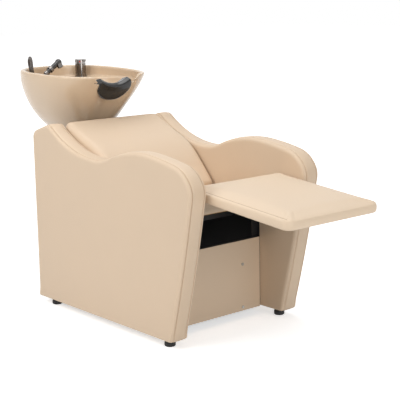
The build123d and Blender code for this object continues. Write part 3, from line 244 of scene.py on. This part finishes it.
def plywood_material():
    material, tree, shader = new_material("plywood")
    link_up = tree.links.new
    place = tree.nodes.new("ShaderNodeTexCoord")
    stretch = tree.nodes.new("ShaderNodeMapping")
    stretch.inputs["Scale"].default_value = (40, 3, 40)
    grain = tree.nodes.new("ShaderNodeTexNoise")
    grain.inputs["Scale"].default_value = 4
    grain.inputs["Detail"].default_value = 6
    grain.inputs["Distortion"].default_value = 0.6
    ramp = tree.nodes.new("ShaderNodeValToRGB")
    ramp.color_ramp.elements[0].position = 0.35
    ramp.color_ramp.elements[0].color = srgb(168, 134, 92)
    ramp.color_ramp.elements[1].position = 0.65
    ramp.color_ramp.elements[1].color = srgb(202, 170, 124)
    bumps = tree.nodes.new("ShaderNodeBump")
    bumps.inputs["Strength"].default_value = 0.3
    bumps.inputs["Distance"].default_value = 0.0004
    link_up(place.outputs["Object"], stretch.inputs["Vector"])
    link_up(stretch.outputs["Vector"], grain.inputs["Vector"])
    link_up(grain.outputs["Fac"], ramp.inputs["Fac"])
    link_up(ramp.outputs["Color"], shader.inputs["Base Color"])
    link_up(grain.outputs["Fac"], bumps.inputs["Height"])
    link_up(bumps.outputs["Normal"], shader.inputs["Normal"])
    shader.inputs["Roughness"].default_value = 0.6
    return material


plywood = plywood_material()
node_looks = {
    "front_panel": leather, "panel_core_right": plywood, "panel_core_left": plywood,
    "seat_board": plywood, "back_board_lower": plywood, "back_board_upper": plywood,
    "legrest_board": black_plastic, "rear_panel": black_plastic, "feet": rubber,
    "drain_gasket": rubber, "drain_flange": chrome, "hair_strainer": chrome,
    "drain_nut": white_plastic, "trap_body": white_plastic, "mixer_body": chrome,
    "mixer_base_ring": chrome, "mixer_nut": brass, "mixer_turret": chrome, "mixer_lever": chrome,
    "mixer_mark": red, "shower_handle": shower_black, "shower_head": chrome,
    "spray_face": grey_rubber, "hose_nut": chrome, "shower_holder": chrome,
    "hose_grommet": rubber, "front_panel_screws": steel, "rear_panel_screws": steel,
    "tilt_washers": white_plastic, "legrest_pins": steel, "ratchet_discs": steel,
}
node_bevels = {
    "front_panel": 0.0025, "rear_panel": 0.0015, "legrest_board": 0.002, "mixer_body": 0.0012,
    "mixer_base_ring": 0.0015, "mixer_turret": 0.0008, "shower_head": 0.0015,
    "shower_holder": 0.0008, "feet": 0.001, "tilt_lever": 0.0015, "legrest_brackets": 0.001,
    "legrest_arm_left": 0.001, "legrest_arm_right": 0.001, "basin_arms": 0.001,
    "basin_cradle": 0.001, "front_panel_screws": 0.0008, "rear_panel_screws": 0.0008,
    "trap_body": 0.0015, "drain_nut": 0.001, "drain_flange": 0.001,
}
# a node that has no look of its own is one of the painted steel parts
for name, node in nodes.items():
    look = node_looks.get(name, black_paint)
    node.data.materials.clear()
    node.data.materials.append(look)
    if name in node_bevels:
        bevel = node.modifiers.new("edge", "BEVEL")
        bevel.width = node_bevels[name]
        bevel.segments = 3
        bevel.limit_method = "ANGLE"
        bevel.angle_limit = math.radians(35)

hose.data.materials.append(hose_grey)
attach(hose, "basin")
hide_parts("shower_hose")


# ---------- mesh helpers ----------
def from_data(name, points, faces, look, smooth=True):
    mesh = bpy.data.meshes.new(name)
    mesh.from_pydata([tuple(p) for p in points], [], faces)
    mesh.update()
    if smooth:
        mesh.polygons.foreach_set("use_smooth", [True] * len(mesh.polygons))
    mesh.materials.append(look)
    return link(bpy.data.objects.new(name, mesh))


def apply_modifiers(obj):
    bpy.context.view_layer.update()
    graph = bpy.context.evaluated_depsgraph_get()
    made = bpy.data.meshes.new_from_object(obj.evaluated_get(graph))
    obj.modifiers.clear()
    old = obj.data
    obj.data = made
    bpy.data.meshes.remove(old)


def remesh(obj, size, smooth_steps):
    mod = obj.modifiers.new("remesh", "REMESH")
    mod.mode = "VOXEL"
    mod.voxel_size = size
    mod.use_smooth_shade = True
    even = obj.modifiers.new("even", "SMOOTH")
    even.iterations = smooth_steps
    even.factor = 0.5
    apply_modifiers(obj)


def face_outward(obj):
    work = bmesh.new()
    work.from_mesh(obj.data)
    bmesh.ops.recalc_face_normals(work, faces=work.faces)
    work.to_mesh(obj.data)
    work.free()


def ring_faces(rings, count):
    """Faces between rings of that many points each, from one ring to the next."""
    faces = []
    for ring in range(rings - 1):
        for k in range(count):
            a, b = ring * count + k, ring * count + (k + 1) % count
            faces.append((a, b, b + count, a + count))
    return faces


def coords(obj):
    flat = np.zeros(len(obj.data.vertices) * 3)
    obj.data.vertices.foreach_get("co", flat)
    return flat.reshape(-1, 3)


def set_coords(obj, points):
    obj.data.vertices.foreach_set("co", np.asarray(points, dtype=float).ravel())
    obj.data.update()


def smooth_all(obj):
    obj.data.polygons.foreach_set("use_smooth", [True] * len(obj.data.polygons))


def subdivide(obj):
    mod = obj.modifiers.new("subdivision", "SUBSURF")
    mod.levels = 1
    mod.render_levels = 1


CLOTH_STIFFNESS = 15.0
CLOTH_FRAMES = 20


def inflate(obj, held, pressure, cap):
    """Swells a padded piece as cloth under pressure.

    The points that held picks stay where they are, and no point moves further than cap.
    """
    start = coords(obj)
    keep = np.nonzero(held(start))[0]
    group = obj.vertex_groups.new(name="held")
    group.add([int(i) for i in keep], 1.0, "REPLACE")
    cloth = obj.modifiers.new("cloth", "CLOTH")
    cloth.settings.use_pressure = True
    cloth.settings.uniform_pressure_force = pressure
    cloth.settings.effector_weights.gravity = 0
    cloth.settings.vertex_group_mass = "held"
    cloth.settings.tension_stiffness = CLOTH_STIFFNESS
    cloth.settings.compression_stiffness = CLOTH_STIFFNESS
    cloth.settings.quality = 5
    cloth.point_cache.frame_start = 1
    cloth.point_cache.frame_end = CLOTH_FRAMES
    for step in range(1, CLOTH_FRAMES + 1):
        scene.frame_set(step)
    graph = bpy.context.evaluated_depsgraph_get()
    made = bpy.data.meshes.new_from_object(obj.evaluated_get(graph))
    flat = np.zeros(len(made.vertices) * 3)
    made.vertices.foreach_get("co", flat)
    bpy.data.meshes.remove(made)
    obj.modifiers.clear()
    obj.vertex_groups.clear()
    scene.frame_set(1)
    move = flat.reshape(-1, 3) - start
    size = np.linalg.norm(move, axis=1)
    limit = cap * np.tanh(size / cap)
    move *= (limit / np.maximum(size, 1e-9))[:, None]
    set_coords(obj, start + move)


# ---------- side panels ----------
PANEL_REAR, PANEL_LENGTH, PANEL_HEIGHT = 0.5035, 1.0025, 0.76
PANEL_FOOT = 0.028
PANEL_MIDDLE, PANEL_HALF = 0.2795, 0.0405


def on_panel(along, high):
    """A point of the panel's side view, as shares of its length from the rear and of its height."""
    return np.array((PANEL_REAR - PANEL_LENGTH * along, PANEL_HEIGHT * high))


def arc_from(start, end, heading, count=40):
    """Points of the arc from start to end that leaves start along heading, and its last heading."""
    heading = heading / np.linalg.norm(heading)
    side = np.array((-heading[1], heading[0]))
    chord = end - start
    lean = chord @ side
    if abs(lean) < 1e-9:
        return [start + chord * k / count for k in range(count + 1)], heading
    radius = chord @ chord / (2 * lean)
    centre = start + side * radius
    turn = 2 * math.atan2(lean, chord @ heading)
    points = []
    for k in range(count + 1):
        c, s = math.cos(turn * k / count), math.sin(turn * k / count)
        arm = start - centre
        points.append(centre + np.array((arm[0] * c - arm[1] * s, arm[0] * s + arm[1] * c)))
    c, s = math.cos(turn), math.sin(turn)
    return points, np.array((heading[0] * c - heading[1] * s, heading[0] * s + heading[1] * c))


def resample(points, spacing, closed=True):
    points = np.array(points)
    ring = np.vstack([points, points[:1]]) if closed else points
    steps = np.linalg.norm(np.diff(ring, axis=0), axis=1)
    places = np.concatenate([[0], np.cumsum(steps)])
    count = max(3, int(round(places[-1] / spacing)))
    wanted = np.linspace(0, places[-1], count + (0 if closed else 1), endpoint=not closed)
    return np.stack([np.interp(wanted, places, ring[:, k]) for k in range(ring.shape[1])], axis=1)


def ease_corner(points, corner, reach):
    """Rounds a closed outline near a corner with one smooth bend of that reach."""
    count = len(points)
    nearest = int(np.argmin(np.linalg.norm(points - corner, axis=1)))
    spacing = np.linalg.norm(points[1] - points[0])
    span = max(1, int(round(reach / spacing)))
    first, last = points[(nearest - span) % count].copy(), points[(nearest + span) % count].copy()
    made = points.copy()
    for k in range(-span, span + 1):
        t = (k + span) / (2 * span)
        made[(nearest + k) % count] = (1 - t) ** 2 * first + 2 * t * (1 - t) * corner + t * t * last
    return made


def panel_outline():
    """The panel's side view: arcs from the dip forward and down, the foot, the rear and the top."""
    dip = on_panel(0.442, 0.8507)
    top = on_panel(0.117, 1.0)
    line = []
    heading = np.array((-1.0, 0.0))
    start = dip
    toe_front = np.array((PANEL_REAR - PANEL_LENGTH * 0.8743, PANEL_FOOT))
    for end in (on_panel(0.518, 0.871), on_panel(0.761, 0.9197), on_panel(0.911, 0.8875),
                on_panel(0.991, 0.809), on_panel(0.999, 0.746), toe_front):
        made, heading = arc_from(start, end, heading)
        line += made[:-1]
        start = end
    toe_rear, rear_top = np.array((PANEL_REAR, PANEL_FOOT)), on_panel(0.0, 0.951)
    line += [toe_front, toe_rear, rear_top, top]
    back, _ = arc_from(dip, top, np.array((1.0, 0.0)))
    line += back[-2:0:-1]
    outline = resample(line, 0.003)
    outline = ease_corner(outline, rear_top, 0.030)
    outline = ease_corner(outline, top, 0.022)
    outline = ease_corner(outline, toe_front, 0.010)
    outline = ease_corner(outline, toe_rear, 0.010)
    return resample(outline, 0.006)


outline = panel_outline()
tangent = np.roll(outline, -1, 0) - np.roll(outline, 1, 0)
tangent /= np.linalg.norm(tangent, axis=1)[:, None]
inward = np.stack([-tangent[:, 1], tangent[:, 0]], axis=1)
next_point = np.roll(outline, -1, 0)
area = 0.5 * np.sum(outline[:, 0] * next_point[:, 1] - next_point[:, 0] * outline[:, 1])
if area < 0:
    inward = -inward
# the insets of the edge are less within this height over the foot, down to 0.35 of their size
FOOT_EASE = 0.05
tight = np.clip((outline[:, 1] - PANEL_FOOT) / FOOT_EASE, 0, 1)
tight = 0.35 + 0.65 * tight * tight * (3 - 2 * tight)

# inset from the outline and distance from the panel's middle plane, from the flat face over
# the seam's groove to the middle of the edge
edge_profile = [
    (0.0300, PANEL_HALF), (0.0200, 0.04045), (0.0145, 0.0402), (0.0100, 0.0393),
    (0.0066, 0.0376), (0.0040, 0.0352), (0.0022, 0.0323), (0.0014, 0.0304), (0.0016, 0.0290),
    (0.0032, 0.0281), (0.0062, 0.0275), (0.0062, 0.0263), (0.0030, 0.0256), (0.0010, 0.0246),
    (0.0000, 0.0228), (-0.0006, 0.0170), (-0.0011, 0.0085), (-0.0013, 0.0),
]
CAP_GRID = 0.02
CAP_MARGIN = 0.012
CROWN = 0.0016
CROWN_REACH = 0.05
WAVE_OUTSIDE, WAVE_INSIDE = 0.0009, 0.0003


def side_panel(side, sign):
    """One panel: rings along the edge profile, closed by a face on either side."""
    middle = sign * PANEL_MIDDLE
    profile = [(d, -h) for d, h in edge_profile] + [(d, h) for d, h in edge_profile[-2::-1]]
    count = len(outline)
    points = []
    for d, h in profile:
        ring = outline + inward * (d * tight)[:, None]
        points += [(middle + h, y, z) for y, z in ring]
    faces = ring_faces(len(profile), count)
    rim = outline + inward * (edge_profile[0][0] * tight)[:, None]
    low, high = rim.min(0), rim.max(0)
    grid = np.array([(y, z) for y in np.arange(low[0], high[0], CAP_GRID)
                     for z in np.arange(low[1], high[1], CAP_GRID)])
    away = np.array([np.min(np.hypot(rim[:, 0] - y, rim[:, 1] - z)) for y, z in grid])
    grid = grid[away > CAP_MARGIN]
    flat = [Vector(p) for p in rim] + [Vector(p) for p in grid]
    made = delaunay_2d_cdt(flat, [(k, (k + 1) % count) for k in range(count)], [], 1, 1e-7)
    cap_points, cap_faces, origins = made[0], made[2], made[3]
    for half, first in ((-1, 0), (1, (len(profile) - 1) * count)):
        index = {}
        for k, origin in enumerate(origins):
            kept = [o for o in origin if o < count]
            if kept:
                index[k] = first + kept[0]
                continue
            y, z = cap_points[k]
            deep = np.min(np.hypot(rim[:, 0] - y, rim[:, 1] - z))
            outside = half == sign
            bulge = (CROWN if outside else 0.0) * (1 - math.exp(-deep / CROWN_REACH))
            wave = noise.noise(Vector((y * 7, z * 7, middle * 9)))
            wave *= WAVE_OUTSIDE if outside else WAVE_INSIDE
            out = PANEL_HALF + bulge + wave * min(1.0, deep / CROWN_REACH)
            index[k] = len(points)
            points.append((middle + half * out, y, z))
        faces += [tuple(index[v] for v in face) for face in cap_faces]
    obj = from_data(f"panel_{side}", points, faces, leather)
    face_outward(obj)
    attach(obj, "base")
    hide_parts(f"side_panel_{side}")


for side, sign in (("right", -1), ("left", 1)):
    side_panel(side, sign)


# ---------- cushions ----------
PAD_VOXEL, REST_VOXEL = 0.006, 0.0042
CUSHION_HALF = 0.2365
SEAM_SINK = 0.0004


def prism(name, profile, half_width, look, bevel, segments=4):
    """A block with that outline in the YZ plane, its edges rounded."""
    work = bmesh.new()
    first = [work.verts.new((-half_width, y, z)) for y, z in profile]
    last = [work.verts.new((half_width, y, z)) for y, z in profile]
    work.faces.new(first)
    work.faces.new(last[::-1])
    for k in range(len(profile)):
        n = (k + 1) % len(profile)
        work.faces.new((first[k], last[k], last[n], first[n]))
    bmesh.ops.recalc_face_normals(work, faces=work.faces)
    mesh = bpy.data.meshes.new(name)
    work.to_mesh(mesh)
    work.free()
    mesh.materials.append(look)
    obj = link(bpy.data.objects.new(name, mesh))
    rounding = obj.modifiers.new("rounding", "BEVEL")
    rounding.width = bevel
    rounding.segments = segments
    rounding.limit_method = "ANGLE"
    rounding.angle_limit = math.radians(50)
    return obj


def finish_pad(obj, body, node):
    smooth_all(obj)
    subdivide(obj)
    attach(obj, body)
    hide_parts(node)


def seam(name, points, obj, body, radius=0.0012):
    """The thread of a sewn seam: a thin line laid along the surface of a pad."""
    graph = bpy.context.evaluated_depsgraph_get()
    tree = BVHTree.FromObject(obj, graph)
    placed = []
    for p in resample(points, 0.006, closed=False):
        hit, normal, _, _ = tree.find_nearest(Vector(p))
        placed.append(hit - normal * SEAM_SINK)
    curve, _ = round_line(name, "POLY", placed, radius, 3)
    curve.materials.append(thread)
    made = link(bpy.data.objects.new(name, curve))
    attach(made, body)


def groove(obj, points, depth, width):
    """Draws the surface in along a line, as a sewn seam does."""
    line = resample(points, 0.004, closed=False)
    where = coords(obj)
    normals = np.zeros(len(where) * 3)
    obj.data.vertices.foreach_get("normal", normals)
    normals = normals.reshape(-1, 3)
    near = np.full(len(where), 1e9)
    for start in range(0, len(line), 200):
        part = line[start:start + 200]
        gap = np.linalg.norm(where[:, None, :] - part[None, :, :], axis=2).min(1)
        near = np.minimum(near, gap)
    set_coords(obj, where - normals * (depth * np.exp(-(near / width) ** 2))[:, None])


# back cushion: shoulder slope, soft knee and steep lower part
BACK_TOP, BACK_KNEE = (0.386, 0.771), (0.128, 0.658)
BACK_SLOPES = (math.radians(23.65), math.radians(49.92))
back_front = [BACK_TOP, (0.345, 0.7475), (0.3, 0.7262), (0.257, 0.7080), (0.21, 0.6885),
              (0.178, 0.6737), (0.150, 0.6580), (0.124, 0.6385), (0.100, 0.6150),
              (0.072, 0.5845), (0.040, 0.5490), (-0.010, 0.4925)]
back_rear = [(0.0497, 0.4438), (0.1760, 0.5939), (0.4173, 0.6996)]
back = prism("back_cushion_pad", back_front + back_rear, CUSHION_HALF, leather, 0.028,
             segments=6)
remesh(back, PAD_VOXEL, 10)


def back_held(points):
    """The points deeper than 50 mm under the upper or the lower slope of the cushion's face."""
    y, z = points[:, 1], points[:, 2]
    upper, lower = (
        (y - start[0]) * -math.sin(slope) + (z - start[1]) * math.cos(slope)
        for start, slope in zip((BACK_TOP, BACK_KNEE), BACK_SLOPES))
    return np.minimum(upper + 0.02, lower + 0.02) < -0.030


inflate(back, back_held, pressure=3.0, cap=0.006)
finish_pad(back, "base", "back_cushion")

# seat cushion on its slope
seat_slope = math.radians(11)
seat_x = np.array((math.cos(seat_slope), -math.sin(seat_slope)))
seat_z = np.array((math.sin(seat_slope), math.cos(seat_slope)))
seat_origin = np.array((-0.342, 0.463))


def on_seat(along, high):
    return tuple(seat_origin + seat_x * along + seat_z * high)


seat_outline = [on_seat(along, high) for along, high in (
    (0.001, 0.001), (0.371, 0.001), (0.371, 0.080), (0.28, 0.0885), (0.186, 0.0915),
    (0.09, 0.0885), (0.001, 0.080))]
seat = prism("seat_cushion_pad", seat_outline, CUSHION_HALF, leather, 0.014)
remesh(seat, PAD_VOXEL, 4)


def seat_held(points):
    high = (points[:, 1:] - seat_origin) @ seat_z
    return high < 0.05


inflate(seat, seat_held, pressure=4.0, cap=0.008)
SEAT_SEAM = 0.232
GROOVE_DEPTH, GROOVE_WIDTH = 0.002, 0.006
for across in (-SEAT_SEAM, SEAT_SEAM):
    groove(seat, [(across, *on_seat(0.004, 0.078)), (across, *on_seat(0.368, 0.078))],
           GROOVE_DEPTH, GROOVE_WIDTH)
groove(seat, [(-SEAT_SEAM, *on_seat(0.002, 0.076)), (SEAT_SEAM, *on_seat(0.002, 0.076))],
       GROOVE_DEPTH, GROOVE_WIDTH)
finish_pad(seat, "base", "seat_cushion")
seam("seat_seam", [(-SEAT_SEAM, *on_seat(0.0, 0.076)), (SEAT_SEAM, *on_seat(0.0, 0.076))],
     seat, "base")

# leg rest pad, raised
rest_slope = math.radians(5.6)
rest_x = np.array((math.cos(rest_slope), math.sin(rest_slope)))
rest_z = np.array((-math.sin(rest_slope), math.cos(rest_slope)))
rest_origin = np.array((-0.873817, 0.500229))


def on_rest(along, high):
    return tuple(rest_origin + rest_x * along + rest_z * high)


REST_LENGTH, REST_HALF, REST_CORNER = 0.508, 0.2285, 0.034
REST_SEAM, REST_SEAM_HEIGHT = 0.215, 0.040
CORNER_STEPS = 8


def rest_pad():
    """The leg rest: rounded rectangles, each inset from the outline at its own height."""
    rings = [(0.022, 0.0008), (0.010, 0.0), (0.004, 0.0012), (0.0012, 0.0045), (0.0, 0.010),
             (0.0, 0.020), (0.0008, 0.027), (0.0032, 0.0335), (0.0080, 0.0385),
             (0.0150, 0.0415), (0.026, 0.0436), (0.040, 0.0450)]
    points = []
    for inset, high in rings:
        corner = max(0.006, REST_CORNER - inset)
        long, half = REST_LENGTH - 2 * inset, REST_HALF - inset
        loop = []
        for along, across, start in ((0, -half, 180), (long, -half, 270), (long, half, 0),
                                     (0, half, 90)):
            x = corner if along == 0 else long - corner
            y = across + corner if across < 0 else across - corner
            for k in range(CORNER_STEPS + 1):
                turn = math.radians(start + 90 * k / CORNER_STEPS)
                loop.append((inset + x + corner * math.cos(turn), y + corner * math.sin(turn)))
        points += [(across, *on_rest(along, high)) for along, across in loop]
    count = len(points) // len(rings)
    faces = ring_faces(len(rings), count)
    faces.append(tuple(range(count))[::-1])
    faces.append(tuple(range((len(rings) - 1) * count, len(rings) * count)))
    obj = from_data("leg_rest_pad", points, faces, leather_painted_light)
    face_outward(obj)
    return obj


rest = rest_pad()
remesh(rest, REST_VOXEL, 3)


def rest_held(points):
    high = (points[:, 1:] - rest_origin) @ rest_z
    return high < 0.034


inflate(rest, rest_held, pressure=2.5, cap=0.005)
for across in (-REST_SEAM, REST_SEAM):
    groove(rest, [(across, *on_rest(0.496, REST_SEAM_HEIGHT)),
                  (across, *on_rest(0.016, REST_SEAM_HEIGHT))], 0.0024, 0.0045)
finish_pad(rest, "leg_rest", "legrest_pad")
for side, across in (("right", -REST_SEAM), ("left", REST_SEAM)):
    seam(f"rest_seam_{side}", [(across, *on_rest(0.494, REST_SEAM_HEIGHT)),
                               (across, *on_rest(0.018, REST_SEAM_HEIGHT))],
         rest, "leg_rest", radius=0.0009)


# ---------- basin and neck rest ----------
BASIN_VOXEL, GEL_VOXEL = 0.0035, 0.0026


def keep_largest(obj):
    """Drops every loose piece of a mesh but the largest."""
    work = bmesh.new()
    work.from_mesh(obj.data)
    work.verts.ensure_lookup_table()
    left, groups = set(work.verts), []
    while left:
        front = [left.pop()]
        group = list(front)
        while front:
            vert = front.pop()
            for edge in vert.link_edges:
                other = edge.other_vert(vert)
                if other in left:
                    left.remove(other)
                    front.append(other)
                    group.append(other)
        groups.append(group)
    groups.sort(key=len)
    for group in groups[:-1]:
        bmesh.ops.delete(work, geom=group, context="VERTS")
    work.to_mesh(obj.data)
    work.free()


def trim(obj, point, direction):
    """Cuts a mesh off beyond a plane and closes the cut."""
    work = bmesh.new()
    work.from_mesh(obj.data)
    everything = work.verts[:] + work.edges[:] + work.faces[:]
    made = bmesh.ops.bisect_plane(work, geom=everything, plane_co=point, plane_no=direction,
                                  clear_outer=True)
    rim = [piece for piece in made["geom_cut"] if isinstance(piece, bmesh.types.BMEdge)]
    bmesh.ops.holes_fill(work, edges=rim)
    work.to_mesh(obj.data)
    work.free()


def softened(node, name, look, size, steps, body, cuts=()):
    """The node's own shape with every edge softened, as glaze or moulded gel has it.

    A wall thinner than the voxel size is lost. The cuts come after the first remesh.
    """
    obj = link(bpy.data.objects.new(name, nodes[node].data.copy()))
    obj.data.materials.clear()
    obj.data.materials.append(look)
    remesh(obj, size, steps)
    for point, direction in cuts:
        trim(obj, point, direction)
    if cuts:
        remesh(obj, size, 4)
    keep_largest(obj)
    smooth_all(obj)
    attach(obj, body)
    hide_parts(node)


# planes that slope off the two ends of the neck rest
neck_cuts = [((sign * 0.070, 0.36, 0.926), (sign * 0.88, 0, 0.47)) for sign in (-1, 1)]
softened("basin", "basin_bowl", ceramic, BASIN_VOXEL, 6, "basin")
softened("neck_rest", "neck_rest_gel", gel, GEL_VOXEL, 10, "basin", cuts=neck_cuts)

# ---------- studio ----------
# how the floor's own glow grows with the distance from the object
FLOOR_NEAR, FLOOR_FAR = 1.0, 4.5
GLOW_NEAR, GLOW_FAR = 0.57, 1.0
FLOOR_REACH = 30
WORLD_STRENGTH = 0.38


def background_rays(tree):
    """One for a camera, glossy or transmission ray, and zero for the light on the object."""
    path = tree.nodes.new("ShaderNodeLightPath")
    total = path.outputs["Is Camera Ray"]
    for name in ("Is Glossy Ray", "Is Transmission Ray"):
        either = tree.nodes.new("ShaderNodeMath")
        either.operation = "MAXIMUM"
        tree.links.new(total, either.inputs[0])
        tree.links.new(path.outputs[name], either.inputs[1])
        total = either.outputs["Value"]
    return total


def studio_material():
    material = bpy.data.materials.new("floor")
    material.use_nodes = True
    tree = material.node_tree
    tree.nodes.clear()
    out = tree.nodes.new("ShaderNodeOutputMaterial")
    diffuse = tree.nodes.new("ShaderNodeBsdfDiffuse")
    diffuse.inputs["Color"].default_value = (0.86, 0.86, 0.86, 1)
    glow = tree.nodes.new("ShaderNodeEmission")
    glow.inputs["Color"].default_value = (1, 1, 1, 1)
    # away from the object, where the lamps reach it less, the floor glows more
    place = tree.nodes.new("ShaderNodeTexCoord")
    away = tree.nodes.new("ShaderNodeVectorMath")
    away.operation = "LENGTH"
    paler = tree.nodes.new("ShaderNodeMapRange")
    paler.inputs["From Min"].default_value = FLOOR_NEAR
    paler.inputs["From Max"].default_value = FLOOR_FAR
    paler.inputs["To Min"].default_value = GLOW_NEAR
    paler.inputs["To Max"].default_value = GLOW_FAR
    tree.links.new(place.outputs["Object"], away.inputs[0])
    tree.links.new(away.outputs["Value"], paler.inputs["Value"])
    power = tree.nodes.new("ShaderNodeMath")
    power.operation = "MULTIPLY"
    tree.links.new(paler.outputs["Result"], power.inputs[1])
    total = tree.nodes.new("ShaderNodeAddShader")
    tree.links.new(background_rays(tree), power.inputs[0])
    tree.links.new(power.outputs["Value"], glow.inputs["Strength"])
    tree.links.new(diffuse.outputs["BSDF"], total.inputs[0])
    tree.links.new(glow.outputs["Emission"], total.inputs[1])
    tree.links.new(total.outputs["Shader"], out.inputs["Surface"])
    return material


corners = [(x * FLOOR_REACH, y * FLOOR_REACH, 0) for x, y in ((-1, -1), (1, -1), (1, 1), (-1, 1))]
floor = from_data("floor", corners, [(0, 1, 2, 3)], studio_material(), smooth=False)

world = bpy.data.worlds.new("studio")
scene.world = world
world.use_nodes = True
tree = world.node_tree
tree.nodes.clear()
out = tree.nodes.new("ShaderNodeOutputWorld")
soft = tree.nodes.new("ShaderNodeBackground")
soft.inputs["Color"].default_value = (1.0, 0.99, 0.975, 1)
soft.inputs["Strength"].default_value = WORLD_STRENGTH
white = tree.nodes.new("ShaderNodeBackground")
white.inputs["Color"].default_value = (1, 1, 1, 1)
white.inputs["Strength"].default_value = 1.0
mixer = tree.nodes.new("ShaderNodeMixShader")
tree.links.new(background_rays(tree), mixer.inputs["Fac"])
tree.links.new(soft.outputs["Background"], mixer.inputs[1])
tree.links.new(white.outputs["Background"], mixer.inputs[2])
tree.links.new(mixer.outputs["Shader"], out.inputs["Surface"])


def area_light(name, place, target, size, power):
    light = bpy.data.lights.new(name, "AREA")
    light.shape = "DISK"
    light.size = size
    light.energy = power
    obj = link(bpy.data.objects.new(name, light))
    obj.location = place
    obj.rotation_mode = "QUATERNION"
    obj.rotation_quaternion = (Vector(target) - Vector(place)).to_track_quat("-Z", "Y")


area_light("key", (-2.9, 0.2, 2.6), (0, 0, 0.5), 2.2, 57)
area_light("top", (0.2, 0.3, 3.6), (0, 0, 0.4), 2.6, 50)
area_light("fill", (-0.6, -4.2, 1.5), (0, 0, 0.4), 2.4, 52)
